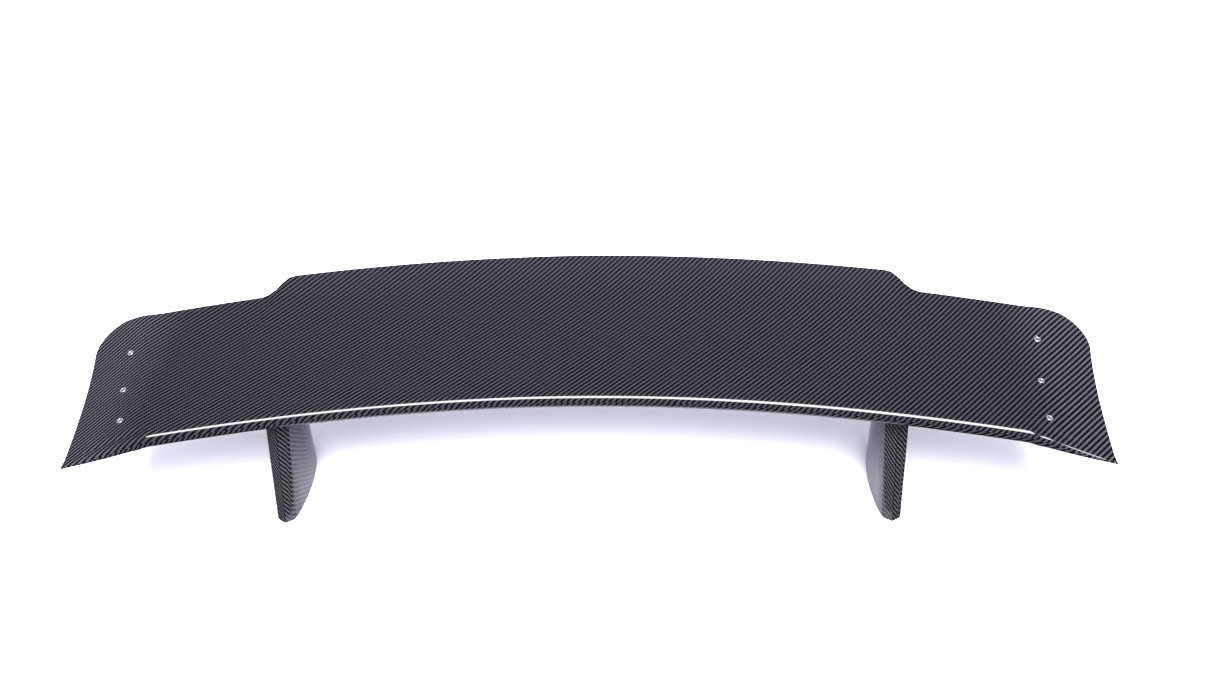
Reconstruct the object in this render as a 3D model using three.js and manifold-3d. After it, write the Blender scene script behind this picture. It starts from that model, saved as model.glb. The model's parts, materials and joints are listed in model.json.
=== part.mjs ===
// Racing rear wing on two uprights. Millimetres, +X along the span, +Y towards the rear, +Z up.
// The origin lies on the ground, midway along the span and midway between front and rear.
import * as THREE from "three";
import Module from "manifold-3d";
import { mergeVertices } from "three/addons/utils/BufferGeometryUtils.js";
import { ParametricGeometry } from "three/addons/geometries/ParametricGeometry.js";

const wasm = await Module();
wasm.setup();

// Blade, plan and height. Distances along the span are scaled by the reference half span.
const referenceHalfSpan = 720;
const leadingEdgeHeight = 165;
const leadingEdgeSweep = -118.9;
const leadingEdgeSweepEase = 3.2;
const leadingEdgeFall = -7.1;
const leadingEdgeFallEase = 3.5;
const trailingEdgeY = 260.3;
const trailingEdgeSweep = -115.8;

// Blade, chordwise shape.
const deckSlope = 0.072;
const kickStart = 66;
const kickRun = 194;
const kickPower = 3.34;
const centreKick = 33.5;
const centreKickFade = -0.0051;
const outerKick = 24;
const outerKickFade = -0.026;

// Raised centre section of the trailing edge.
const stepInnerX = 426;
const stepOuterX = 472;
const stepSetback = 21.8;
const creaseX = 447;
const creaseSpread = 0.3;
const creaseHalfWidth = 9;
const creaseChord = 250;

// Drooped ends with a sharp front tip and a rounded rear corner.
const tipX = 664;
const rearCornerX = 689;
const sideEdgeHollow = 2.7;
const rearCornerStart = 0.85;
const rearCornerInset = 44;
const rearCornerPower = 2.3;
const endSweepBack = 6;
const endSweepStartX = 600;
const bendX = 560;
const bendLean = 0.24;
const bendEase = 24;
const droopSlope = 0.3;
const noseFacetDrop = 6;
const noseFacetWidth = 22;
const noseFacetStart = 14;
const noseFacetTaper = 0.6;

// Blade, thickness.
const edgeThickness = 3;
const thicknessGain = 18.5;
const thicknessPower = 1.6;
const sideThickness = 4;
const sideThinningPower = 1.3;
const noseOverhang = 3.7;
const noseSeamRise = 0.13;
const noseLean = 0.27;
const noseUpperPower = 3;
const noseLowerPower = 3.2;
const skinThickness = 2;
const bondGap = 0.15;
const clearance = 0.3;
const farAway = 400;
const roundSegments = 16;

// Foam cores, hardpoints and joint strips inside the blade.
const coreFrontFraction = 0.07;
const coreRearFraction = 0.84;
const coreEndX = 556;
const hardpointHeight = 8;
const hardpointHalfWidth = 30;
const hardpointFrontY = -6;
const hardpointRearY = 68;
const stripThickness = 1;

// Flanged sleeves through each end, listed from the rear to the front as [x, y].
const leftInserts = [[-632, 90], [-620, 21], [-604, -37]];
const rightInserts = [[613, 98], [598, 21], [591, -45]];
const insertFlangeRadius = 4.5;
const insertFlangeHeight = 0.8;
const insertSleeveRadius = 3.4;
const insertBoreRadius = 2.6;
const insertHoleLength = 40;
const insertRimShare = 0.6;
const insertRimChamfer = 0.4;
const backingHalfWidth = 13;
const backingInnerStation = 0.9;
const backingOuterStation = 1.95;
const backingFrontFraction = 0.04;
const backingRearFraction = 0.86;

// Uprights.
const uprightX = 410;
const uprightHeight = 164;
const footNoseY = -68;
const topNoseY = -6;
const uprightTailY = 88;
const footHalfWidth = 19.7;
const topHalfWidth = 20.5;
const uprightWall = 2.4;
const noseFacetDepth = 7.5;
const footNoseHalfWidth = 12;
const topNoseHalfWidth = 16.5;
const flankDivisions = 15;
const flankFront = { along: 0.2, widening: 0.62 };
const flankCrest = { along: 0.47 };
const flankRear = { along: 0.73, width: 0.84 };
const flankTail = { along: 0.9, width: 0.47 };
const sharpestMitre = 0.45;
const baseBlockHeight = 14;
const topBlockBottom = 124;
const topBlockFrontY = 0;
const topBlockRearY = 60;
const jointStripFootShare = 0.1;
const jointStripTopShare = 0.72;
const tailBondFrontY = 70;
const tailBondRearY = 80;
const tailBondBottom = 18;
const tailBondTop = 118;
const studYs = [12, 48];
const studRadius = 3;
const studBottom = 130;
const studTopInset = 3;
const plateHoleTop = 160;
const footBoltYs = [-32, 48];
const footBoltRadius = 2.5;
const footBoltDepth = 11;

const carbonLook = { color: 0x39373f, roughness: 0.22, metalness: 0.0 };
const sideCarbonLook = { color: 0x4a4854, roughness: 0.28, metalness: 0.0 };
const foamLook = { color: 0xd8cba6, roughness: 0.95, metalness: 0.0 };
const aluminiumLook = { color: 0xb9bcc1, roughness: 0.42, metalness: 1.0 };
const steelLook = { color: 0x9a9da3, roughness: 0.35, metalness: 1.0 };
const laminateLook = { color: 0x25262b, roughness: 0.6, metalness: 0.0 };

function mix(a, b, t) {
  return a + (b - a) * t;
}

function smooth(value, from, to) {
  const t = Math.min(1, Math.max(0, (value - from) / (to - from)));
  return t * t * (3 - 2 * t);
}

function leadingEdgeAt(x) {
  const s = (x / referenceHalfSpan) ** 2;
  return {
    y: leadingEdgeSweep * s + leadingEdgeSweepEase * s * s,
    z: leadingEdgeHeight + leadingEdgeFall * s + leadingEdgeFallEase * s * s,
  };
}

function chordAt(x) {
  const s = (x / referenceHalfSpan) ** 2;
  const setback = stepSetback * smooth(Math.abs(x), stepInnerX, stepOuterX);
  const sweepBack = endSweepBack * smooth(Math.abs(x), endSweepStartX, tipX);
  return trailingEdgeY + trailingEdgeSweep * s - setback + sweepBack - leadingEdgeAt(x).y;
}

function sideEdgeX(fraction) {
  const along = Math.min(1, fraction / rearCornerStart);
  const edge = mix(tipX, rearCornerX, along) - sideEdgeHollow * 4 * along * (1 - along);
  const corner = Math.max(0, (fraction - rearCornerStart) / (1 - rearCornerStart));
  const round = Math.max(0, 1 - corner ** rearCornerPower) ** (1 / rearCornerPower);
  return edge - rearCornerInset * (1 - round);
}

// How far the ends droop at a point outboard of the bend line.
function droopAt(x, depth) {
  const run = Math.max(0, Math.abs(x) - bendX - bendLean * depth);
  if (run < bendEase) {
    return droopSlope * run * run / (2 * bendEase);
  }
  return droopSlope * (run - bendEase / 2);
}

// Forward-falling facet between the end panel and the nose, closing towards the tip.
function noseFacetAt(x, depth) {
  const outboard = Math.abs(x) - bendX - noseFacetStart;
  const width = noseFacetWidth * (1 - noseFacetTaper * smooth(outboard, 0, tipX - bendX));
  const share = smooth(outboard, -noseFacetStart, 0);
  return noseFacetDrop * share * Math.max(0, 1 - Math.max(0, depth) / width);
}

// Height of the upper surface at a span position and a depth behind the leading edge.
function upperHeight(x, depth) {
  const distance = Math.abs(x);
  const crease = creaseX + creaseSpread * (creaseChord - depth);
  const outboard = smooth(distance, crease - creaseHalfWidth, crease + creaseHalfWidth);
  const inner = centreKick + centreKickFade * distance;
  const outer = outerKick + outerKickFade * Math.max(0, distance - stepOuterX);
  const lift = Math.max(0, (depth - kickStart) / kickRun) ** kickPower;
  const kick = mix(inner, outer, outboard) * lift;
  const fall = droopAt(x, depth) + noseFacetAt(x, depth);
  return leadingEdgeAt(x).z + deckSlope * depth + kick - fall;
}

function thicknessAt(x, fraction) {
  const full = edgeThickness + thicknessGain * (1 - fraction ** thicknessPower);
  const edge = sideEdgeX(fraction);
  const outboard = Math.max(0, (Math.abs(x) - bendX) / (edge - bendX));
  return mix(full, Math.min(full, sideThickness), Math.min(1, outboard) ** sideThinningPower);
}

// Chord fractions run from the trailing edge to the start of the rounded nose.
const chordFractions = [1, 0.985, 0.955, 0.91, 0.85, 0.77, 0.67, 0.55, 0.42, 0.29, 0.18, 0.09, 0.045];
const noseSteps = 3;
const quarterCount = chordFractions.length + noseSteps;

// Span stations: 0 to 1 covers the flat part of the blade, 1 to 2 the drooped end.
const flatStations = [0, 80, 160, 240, 320, 385, 420, 430, 440, 449, 458, 467, 477, 492, 515, 540];
const endStations = [0.1, 0.22, 0.36, 0.5, 0.64, 0.77, 0.88, 0.95, 1];

function spanStations(endLimit) {
  const positive = flatStations.map((x) => x / bendX);
  endStations.filter((m) => m <= endLimit).forEach((m) => positive.push(1 + m));
  const negative = positive.slice(1).map((station) => -station);
  return negative.reverse().concat(positive);
}

function stationX(station, fraction) {
  const distance = Math.abs(station);
  if (distance <= 1) {
    return station * bendX;
  }
  const outboard = bendX + (distance - 1) * (sideEdgeX(fraction) - bendX);
  return Math.sign(station) * outboard;
}

// A point of the blade's section, sunk below the outside by the given amount.
// Index 0 is the trailing edge and the last index of the quarter is the foremost point.
function surfacePoint(station, index, side, sunk) {
  if (index < chordFractions.length) {
    const fraction = chordFractions[index];
    const x = stationX(station, fraction);
    const depth = chordAt(x) * fraction;
    const thickness = thicknessAt(x, fraction);
    const half = Math.max(bondGap, thickness / 2 - sunk);
    const middle = upperHeight(x, depth) - thickness / 2;
    return new THREE.Vector3(x, leadingEdgeAt(x).y + depth, middle + side * half);
  }
  return nosePoint(station, index - chordFractions.length + 1, side, sunk);
}

// The nose is blunt, leans forward down to its seam, and the seam lies above the middle of the thickness.
function nosePoint(station, step, side, sunk) {
  const fraction = chordFractions[chordFractions.length - 1];
  const x = stationX(station, fraction);
  const depth = chordAt(x) * fraction;
  const outerRadius = thicknessAt(x, fraction) / 2;
  const radius = Math.max(bondGap, outerRadius - sunk);
  const reach = (depth + noseOverhang * Math.min(1, outerRadius / noseOverhang)) * radius / outerRadius;
  const angle = Math.PI / 2 * (1 - step / noseSteps);
  const power = 2 / (side > 0 ? noseUpperPower : noseLowerPower);
  const extent = radius * (1 - side * noseSeamRise);
  const share = Math.max(0, Math.sin(angle)) ** power;
  const rise = Math.max(bondGap, extent * share);
  const seam = upperHeight(x, depth) - outerRadius + noseSeamRise * radius;
  const lean = side > 0 ? noseLean * radius : 0;
  const forward = (reach - lean) * Math.cos(angle) ** power + lean * (1 - share);
  const y = leadingEdgeAt(x).y + depth - forward;
  return new THREE.Vector3(x, y, seam + side * rise);
}

// Skins a closed ring of points along a row of stations; both ends pinch shut.
function loft(rows, ringAt, closeAt) {
  const rings = rows.map(ringAt);
  rings.unshift(closeAt(rings[0]));
  rings.push(closeAt(rings[rings.length - 1]));
  const columns = rings[0].length;
  const place = (u, v, target) => {
    const ring = rings[Math.round(v * (rings.length - 1))];
    target.copy(ring[Math.round(u * columns) % columns]);
  };
  const geometry = new ParametricGeometry(place, columns, rings.length - 1);
  foldAcrossShorterDiagonal(geometry);
  return solidOf(geometry);
}

// Surfaces laid over one another fold the same way, so that their gap stays even.
function foldAcrossShorterDiagonal(geometry) {
  const corners = geometry.index.array;
  const at = (index) => new THREE.Vector3().fromBufferAttribute(geometry.attributes.position, index);
  for (let i = 0; i < corners.length; i += 6) {
    const [a, b, d, , c] = corners.slice(i, i + 6);
    if (at(a).distanceTo(at(c)) < at(b).distanceTo(at(d))) {
      corners.set([a, b, c, a, c, d], i);
    }
  }
}

// Closes a ring that runs out along one path and back along another of equal length.
function pinchPaths(ring) {
  const last = ring.length - 1;
  return ring.map((point, index) => point.clone().lerp(ring[last - index], 0.5));
}

function solidOf(geometry) {
  const bare = geometry.clone();
  bare.deleteAttribute("normal");
  bare.deleteAttribute("uv");
  const welded = mergeVertices(bare, 1e-4);
  const corners = welded.index.array;
  const faces = [];
  for (let i = 0; i < corners.length; i += 3) {
    const [a, b, c] = corners.slice(i, i + 3);
    if (a !== b && b !== c && c !== a) {
      faces.push(a, b, c);
    }
  }
  const build = (triVerts) => new wasm.Manifold(new wasm.Mesh({
    numProp: 3,
    vertProperties: new Float32Array(welded.attributes.position.array),
    triVerts: new Uint32Array(triVerts),
  }));
  const solid = build(faces);
  return solid.volume() > 0 ? solid : build(faces.reverse());
}

function meshOf(name, solid, look) {
  const mesh = solid.getMesh();
  const geometry = new THREE.BufferGeometry();
  geometry.setAttribute("position", new THREE.BufferAttribute(new Float32Array(mesh.vertProperties), 3));
  geometry.setIndex(new THREE.BufferAttribute(new Uint32Array(mesh.triVerts), 1));
  const faceted = geometry.toNonIndexed();
  faceted.computeVertexNormals();
  const made = new THREE.Mesh(faceted, new THREE.MeshStandardMaterial(look));
  made.name = name;
  return made;
}

function boxSolid(from, to) {
  const size = to.map((value, axis) => value - from[axis]);
  const centre = to.map((value, axis) => (value + from[axis]) / 2);
  const geometry = new THREE.BoxGeometry(...size);
  geometry.translate(...centre);
  return solidOf(geometry);
}

function rodSolid(radius, bottom, top) {
  const geometry = new THREE.CylinderGeometry(radius, radius, top - bottom, roundSegments);
  geometry.rotateX(Math.PI / 2);
  geometry.translate(0, 0, (top + bottom) / 2);
  return solidOf(geometry);
}

// One carbon skin: side 1 is the upper skin, side -1 the lower.
function skinSolid(side) {
  const ringAt = (station) => {
    const outside = [];
    const inside = [];
    for (let index = 0; index < quarterCount; index += 1) {
      outside.push(surfacePoint(station, index, side, 0));
      inside.push(surfacePoint(station, index, side, skinThickness));
    }
    return side > 0 ? outside.concat(inside.reverse()) : outside.reverse().concat(inside);
  };
  return loft(spanStations(1), ringAt, pinchPaths);
}

// The space between the two skins, less the given clearance, over part of the chord and span.
function interiorSolid(front, rear, stations, sunk) {
  const indices = chordFractions.map((fraction, index) => index)
    .filter((index) => chordFractions[index] <= rear && chordFractions[index] >= front);
  const ringAt = (station) => {
    const upper = indices.map((index) => surfacePoint(station, index, 1, sunk));
    const lower = indices.map((index) => surfacePoint(station, index, -1, sunk));
    return upper.reverse().concat(lower);
  };
  return loft(stations, ringAt, pinchPaths);
}

// The whole outside of the blade, lowered slightly so that parts trimmed with it clear the skin.
function bladeEnvelope(lowered) {
  const ringAt = (station) => {
    const upper = [];
    const lower = [];
    for (let index = 0; index < quarterCount; index += 1) {
      upper.push(surfacePoint(station, index, 1, 0));
      lower.push(surfacePoint(station, index, -1, 0));
    }
    return upper.concat(lower.reverse());
  };
  return loft(spanStations(1), ringAt, pinchPaths).translate([0, 0, -lowered]);
}

function noseStrip() {
  const outer = skinThickness + clearance;
  const inner = outer + stripThickness;
  const steps = [2, 3];
  const arc = (station, side, sunk) => steps.map((step) => nosePoint(station, step, side, sunk));
  const ringAt = (station) => {
    const front = arc(station, 1, outer).concat(arc(station, -1, outer).reverse());
    const back = arc(station, 1, inner).concat(arc(station, -1, inner).reverse());
    return front.concat(back.reverse());
  };
  return loft(spanStations(0), ringAt, pinchPaths);
}

// Half outline of an upright as [y, distance from the centre plane], nose first.
function uprightOutline(share) {
  const nose = mix(footNoseY, topNoseY, share);
  const shoulder = mix(footNoseHalfWidth, topNoseHalfWidth, share);
  const widest = mix(footHalfWidth, topHalfWidth, share);
  const body = uprightTailY - nose;
  const flank = new THREE.SplineCurve([
    new THREE.Vector2(nose + noseFacetDepth, shoulder),
    new THREE.Vector2(nose + flankFront.along * body, mix(shoulder, widest, flankFront.widening)),
    new THREE.Vector2(nose + flankCrest.along * body, widest),
    new THREE.Vector2(nose + flankRear.along * body, flankRear.width * widest),
    new THREE.Vector2(nose + flankTail.along * body, flankTail.width * widest),
    new THREE.Vector2(uprightTailY, 0),
  ]);
  return [[nose, 0]].concat(flank.getPoints(flankDivisions).map((point) => [point.x, point.y]));
}

// Moves every point of a half outline inwards along the local normal.
function insetOutline(outline, distance) {
  const last = outline.length - 1;
  const moved = [];
  for (let i = 0; i <= last; i += 1) {
    const before = i === 0 ? [outline[1][0], -outline[1][1]] : outline[i - 1];
    const after = i === last ? [outline[last - 1][0], -outline[last - 1][1]] : outline[i + 1];
    const first = new THREE.Vector2(outline[i][0] - before[0], outline[i][1] - before[1]).normalize();
    const second = new THREE.Vector2(after[0] - outline[i][0], after[1] - outline[i][1]).normalize();
    const along = first.clone().add(second).normalize();
    const spread = Math.max(sharpestMitre, Math.abs(along.dot(first)));
    const y = outline[i][0] + along.y * distance / spread;
    const width = outline[i][1] - along.x * distance / spread;
    moved.push([y, Math.max(bondGap, width)]);
  }
  return moved;
}

function outlinePoints(share, inset, side, height) {
  return insetOutline(uprightOutline(share), inset)
    .map(([y, width]) => new THREE.Vector3(side * width, y, height));
}

// One moulded half of an upright, open at the foot and at the top.
function halfShell(side) {
  const ringAt = (share) => {
    const height = share * uprightHeight;
    const outside = outlinePoints(share, 0, side, height);
    const inside = outlinePoints(share, uprightWall, side, height);
    return outside.concat(inside.reverse());
  };
  return loft([0, 1], ringAt, pinchPaths);
}

function uprightInterior(inset) {
  const ringAt = (share) => {
    const height = share * uprightHeight;
    const outer = outlinePoints(share, inset, 1, height);
    const inner = outlinePoints(share, inset, -1, height);
    return outer.concat(inner.reverse());
  };
  return loft([0, 1], ringAt, pinchPaths);
}

// A narrow V-shaped strip bonded behind the seam at the nose of an upright.
function noseSeamStrip() {
  const outer = uprightWall + 2 * clearance;
  const inner = outer + stripThickness;
  const part = (share, inset, side) => {
    return outlinePoints(share, inset, side, share * uprightHeight).slice(0, 2);
  };
  const ringAt = (share) => {
    const outside = part(share, outer, 1).reverse().concat(part(share, outer, -1));
    const inside = part(share, inner, 1).reverse().concat(part(share, inner, -1));
    return outside.concat(inside.reverse());
  };
  return loft([jointStripFootShare, jointStripTopShare], ringAt, pinchPaths);
}

// The wedge of thickened adhesive that joins the two halves inside their tail.
function tailBond() {
  const room = uprightInterior(uprightWall + 2 * clearance);
  const from = [-farAway, tailBondFrontY, tailBondBottom];
  return room.intersect(boxSolid(from, [farAway, tailBondRearY, tailBondTop]));
}

// A flanged sleeve that passes through both skins, bored right through.
function insertSolid([x, y]) {
  const depth = y - leadingEdgeAt(x).y;
  const length = thicknessAt(x, depth / chordAt(x)) - clearance;
  const profile = [
    [0, -length],
    [insertSleeveRadius, -length],
    [insertSleeveRadius, clearance],
    [insertFlangeRadius, clearance],
    [insertFlangeRadius, clearance + insertFlangeHeight * insertRimShare],
    [insertFlangeRadius - insertRimChamfer, clearance + insertFlangeHeight],
    [0, clearance + insertFlangeHeight],
  ];
  const points = profile.map(([r, z]) => new THREE.Vector2(r, z));
  const outside = new THREE.LatheGeometry(points, roundSegments);
  const bore = new THREE.CylinderGeometry(insertBoreRadius, insertBoreRadius, farAway, roundSegments);
  const seat = seatAt([x, y]);
  return solidOf(outside.applyMatrix4(seat)).subtract(solidOf(bore.applyMatrix4(seat)));
}

// Height and tilt of the upper surface at a plan position.
function seatAt([x, y]) {
  const heightAt = (px, py) => upperHeight(px, py - leadingEdgeAt(px).y);
  const point = new THREE.Vector3(x, y, heightAt(x, y));
  const slopeX = (heightAt(x + 1, y) - heightAt(x - 1, y)) / 2;
  const slopeY = (heightAt(x, y + 1) - heightAt(x, y - 1)) / 2;
  const normal = new THREE.Vector3(-slopeX, -slopeY, 1).normalize();
  const turn = new THREE.Quaternion().setFromUnitVectors(new THREE.Vector3(0, 1, 0), normal);
  return new THREE.Matrix4().compose(point, turn, new THREE.Vector3(1, 1, 1));
}

function insertHole(position) {
  const radius = insertSleeveRadius + clearance;
  const hole = new THREE.CylinderGeometry(radius, radius, insertHoleLength, roundSegments);
  return solidOf(hole.applyMatrix4(seatAt(position)));
}

// A laminate strip bonded between the skins, through which the three inserts of one end pass.
function backingStrip(side, positions) {
  const stations = spanStations(backingOuterStation - 1)
    .filter((station) => station * side >= backingInnerStation);
  const sunk = skinThickness + clearance;
  const blank = interiorSolid(backingFrontFraction, backingRearFraction, stations, sunk);
  const [rear, , front] = positions;
  const outline = new THREE.Shape();
  outline.moveTo(rear[0] - backingHalfWidth, rear[1] + backingHalfWidth);
  outline.lineTo(rear[0] + backingHalfWidth, rear[1] + backingHalfWidth);
  outline.lineTo(front[0] + backingHalfWidth, front[1] - backingHalfWidth);
  outline.lineTo(front[0] - backingHalfWidth, front[1] - backingHalfWidth);
  const cutter = new THREE.ExtrudeGeometry(outline, { depth: farAway, bevelEnabled: false });
  return blank.intersect(solidOf(cutter));
}

function addBlade(group) {
  let upper = skinSolid(1);
  let lower = skinSolid(-1);
  const backings = [];
  [[-1, "left", leftInserts], [1, "right", rightInserts]].forEach(([side, label, positions]) => {
    let backing = backingStrip(side, positions);
    positions.forEach((position, index) => {
      upper = upper.subtract(insertHole(position));
      lower = lower.subtract(insertHole(position));
      backing = backing.subtract(insertHole(position));
      const place = ["rear", "middle", "front"][index];
      group.add(meshOf(`end_insert_${label}_${place}`, insertSolid(position), steelLook));
    });
    backings.push(meshOf(`insert_backing_${label}`, backing, laminateLook));
  });
  studPositions().forEach(([x, y]) => {
    const hole = rodSolid(studRadius + clearance, 0, plateHoleTop).translate([x, y, 0]);
    lower = lower.subtract(hole);
  });
  group.add(meshOf("blade_upper_skin", upper, carbonLook));
  group.add(meshOf("blade_lower_skin", lower, carbonLook));
  group.add(meshOf("leading_edge_joint_strip", noseStrip(), laminateLook));
  backings.forEach((mesh) => group.add(mesh));
}

function studPositions() {
  return [-uprightX, uprightX].flatMap((x) => studYs.map((y) => [x, y]));
}

// Hardpoint plates sit on the lower skin above each upright; the foam is cut around them.
function addFillings(group) {
  const sunk = skinThickness + clearance;
  const space = interiorSolid(coreFrontFraction, coreRearFraction, spanStations(0), sunk);
  const floorAt = (y) => {
    const depth = y - leadingEdgeAt(uprightX).y;
    const fraction = depth / chordAt(uprightX);
    return upperHeight(uprightX, depth) - thicknessAt(uprightX, fraction) + skinThickness;
  };
  const plateTop = floorAt(hardpointFrontY) + hardpointHeight;
  const plates = [["left", -uprightX], ["right", uprightX]].map(([label, x]) => {
    const from = [x - hardpointHalfWidth, hardpointFrontY, 0];
    const to = [x + hardpointHalfWidth, hardpointRearY, plateTop];
    return { label, x, block: space.intersect(boxSolid(from, to)) };
  });
  plates.forEach(({ label, x, block }) => {
    let plate = block;
    studYs.forEach((y) => {
      const hole = rodSolid(studRadius + clearance, 0, plateTop - studTopInset + clearance);
      plate = plate.subtract(hole.translate([x, y, 0]));
    });
    group.add(meshOf(`hardpoint_plate_${label}`, plate, aluminiumLook));
  });
  const pocket = (x) => boxSolid(
    [x - hardpointHalfWidth - clearance, hardpointFrontY - clearance, 0],
    [x + hardpointHalfWidth + clearance, hardpointRearY + clearance, plateTop + clearance],
  );
  const core = space.subtract(pocket(-uprightX)).subtract(pocket(uprightX));
  const spans = [
    ["left", -coreEndX, -uprightX - clearance / 2],
    ["centre", -uprightX + clearance / 2, uprightX - clearance / 2],
    ["right", uprightX + clearance / 2, coreEndX],
  ];
  spans.forEach(([label, from, to]) => {
    const piece = core.intersect(boxSolid([from, -farAway, 0], [to, farAway, farAway]));
    group.add(meshOf(`foam_core_${label}`, piece, foamLook));
  });
  return plateTop;
}

function addUpright(group, label, side, envelope, plateTop) {
  const x = side * uprightX;
  const place = (solid) => solid.translate([x, 0, 0]).subtract(envelope);
  group.add(meshOf(`upright_${label}_outer_half`, place(halfShell(side)), sideCarbonLook));
  group.add(meshOf(`upright_${label}_inner_half`, place(halfShell(-side)), sideCarbonLook));
  group.add(meshOf(`upright_${label}_nose_joint_strip`, place(noseSeamStrip()), laminateLook));
  group.add(meshOf(`upright_${label}_tail_bond`, place(tailBond()), laminateLook));
  const blockInset = uprightWall + clearance;
  const room = uprightInterior(blockInset + stripThickness + 2 * clearance);
  const foot = uprightInterior(blockInset);
  let base = foot.intersect(boxSolid([-farAway, -farAway, 0], [farAway, farAway, baseBlockHeight]));
  footBoltYs.forEach((y) => {
    base = base.subtract(rodSolid(footBoltRadius, -1, footBoltDepth).translate([0, y, 0]));
  });
  group.add(meshOf(`upright_${label}_base_block`, place(base), aluminiumLook));
  const topFrom = [-farAway, topBlockFrontY, topBlockBottom];
  let top = room.intersect(boxSolid(topFrom, [farAway, topBlockRearY, uprightHeight]));
  studYs.forEach((y) => {
    const hole = rodSolid(studRadius + clearance, studBottom - clearance, uprightHeight + 1);
    top = top.subtract(hole.translate([0, y, 0]));
  });
  group.add(meshOf(`upright_${label}_top_block`, place(top), aluminiumLook));
  studYs.forEach((y, index) => {
    const stud = rodSolid(studRadius, studBottom, plateTop - studTopInset).translate([x, y, 0]);
    group.add(meshOf(`stud_${label}_${index === 0 ? "front" : "rear"}`, stud, steelLook));
  });
}

// Moves the origin midway between the foremost and rearmost points.
function centreFrontToRear(group) {
  const middle = new THREE.Box3().setFromObject(group).getCenter(new THREE.Vector3());
  group.children.forEach((mesh) => mesh.geometry.translate(-middle.x, -middle.y, 0));
}

function racingRearWing() {
  const group = new THREE.Group();
  group.name = "racing_rear_wing";
  const envelope = bladeEnvelope(clearance);
  addBlade(group);
  const plateTop = addFillings(group);
  addUpright(group, "left", -1, envelope, plateTop);
  addUpright(group, "right", 1, envelope, plateTop);
  centreFrontToRear(group);
  return group;
}

export default racingRearWing();
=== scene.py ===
import json
import math
import bmesh
import bpy
from mathutils import Matrix, Vector


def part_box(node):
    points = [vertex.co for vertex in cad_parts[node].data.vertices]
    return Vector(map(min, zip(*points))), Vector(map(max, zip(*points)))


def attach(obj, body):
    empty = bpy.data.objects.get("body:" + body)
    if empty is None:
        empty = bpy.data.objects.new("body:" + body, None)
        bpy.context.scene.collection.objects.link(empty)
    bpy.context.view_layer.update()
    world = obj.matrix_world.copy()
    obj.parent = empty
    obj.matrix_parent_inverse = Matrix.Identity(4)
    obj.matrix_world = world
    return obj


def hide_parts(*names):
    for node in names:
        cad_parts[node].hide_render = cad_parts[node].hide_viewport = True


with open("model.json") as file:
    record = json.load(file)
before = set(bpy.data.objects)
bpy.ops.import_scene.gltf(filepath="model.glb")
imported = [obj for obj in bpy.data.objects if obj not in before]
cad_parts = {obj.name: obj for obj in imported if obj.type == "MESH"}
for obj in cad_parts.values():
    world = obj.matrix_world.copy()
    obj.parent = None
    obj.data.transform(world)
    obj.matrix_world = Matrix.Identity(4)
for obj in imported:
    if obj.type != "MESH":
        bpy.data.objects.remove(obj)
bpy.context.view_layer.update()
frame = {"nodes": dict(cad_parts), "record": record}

metre = 0.001
print("frame loaded:", len(frame["nodes"]), "solids")


# Blade surface. Lengths in millimetres, measured from the middle of the leading edge.
bladeShape = {
    "referenceHalfSpan": 720, "height": 165, "sweep": -118.9, "sweepEase": 3.2, "fall": -7.1,
    "fallEase": 3.5, "rearY": 260.3, "rearSweep": -115.8, "deckSlope": 0.072,
    "kickStart": 66, "kickRun": 194, "kickPower": 3.34,
    "centreKick": 33.5, "centreKickFade": -0.0051, "outerKick": 24, "outerKickFade": -0.026,
    "stepInnerX": 426, "stepOuterX": 472, "stepSetback": 21.8,
    "creaseX": 447, "creaseSpread": 0.3, "creaseChord": 250, "creaseHalfWidth": 9,
    "tipX": 664, "rearCornerX": 689, "sideHollow": 2.7,
    "cornerStart": 0.85, "cornerInset": 44, "cornerPower": 2.3,
    "endSweepBack": 6, "endSweepStartX": 600,
    "bendX": 560, "bendLean": 0.24, "bendEase": 24, "droopSlope": 0.3,
    "facetDrop": 6, "facetWidth": 22, "facetStart": 14, "facetTaper": 0.6,
    "edgeThickness": 3, "thicknessGain": 18.5, "thicknessPower": 1.6,
    "sideThickness": 4, "sideThinningPower": 1.3,
    "noseFraction": 0.045, "noseOverhang": 3.7, "noseSeamRise": 0.13, "noseLean": 0.27,
    "noseUpperPower": 3, "noseLowerPower": 3.2,
    "skin": 2, "bondGap": 0.15, "rimRadius": 1.2,
}


def mix(a, b, t):
    return a + (b - a) * t


def smooth(value, start, end):
    t = min(1, max(0, (value - start) / (end - start)))
    return t * t * (3 - 2 * t)


def spanShare(x):
    return (x / bladeShape["referenceHalfSpan"]) ** 2


def leadingEdge(x):
    s = spanShare(x)
    y = bladeShape["sweep"] * s + bladeShape["sweepEase"] * s * s
    z = bladeShape["height"] + bladeShape["fall"] * s + bladeShape["fallEase"] * s * s
    return y, z


def chordAt(x):
    b = bladeShape
    setback = b["stepSetback"] * smooth(abs(x), b["stepInnerX"], b["stepOuterX"])
    sweepBack = b["endSweepBack"] * smooth(abs(x), b["endSweepStartX"], b["tipX"])
    return b["rearY"] + b["rearSweep"] * spanShare(x) - setback + sweepBack - leadingEdge(x)[0]


def sideEdge(fraction):
    b = bladeShape
    along = min(1, fraction / b["cornerStart"])
    edge = mix(b["tipX"], b["rearCornerX"], along) - b["sideHollow"] * 4 * along * (1 - along)
    corner = max(0, (fraction - b["cornerStart"]) / (1 - b["cornerStart"]))
    rounding = max(0, 1 - corner ** b["cornerPower"]) ** (1 / b["cornerPower"])
    return edge - b["cornerInset"] * (1 - rounding)


def droopAt(x, depth):
    b = bladeShape
    run = max(0, abs(x) - b["bendX"] - b["bendLean"] * depth)
    if run < b["bendEase"]:
        return b["droopSlope"] * run * run / (2 * b["bendEase"])
    return b["droopSlope"] * (run - b["bendEase"] / 2)


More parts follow.
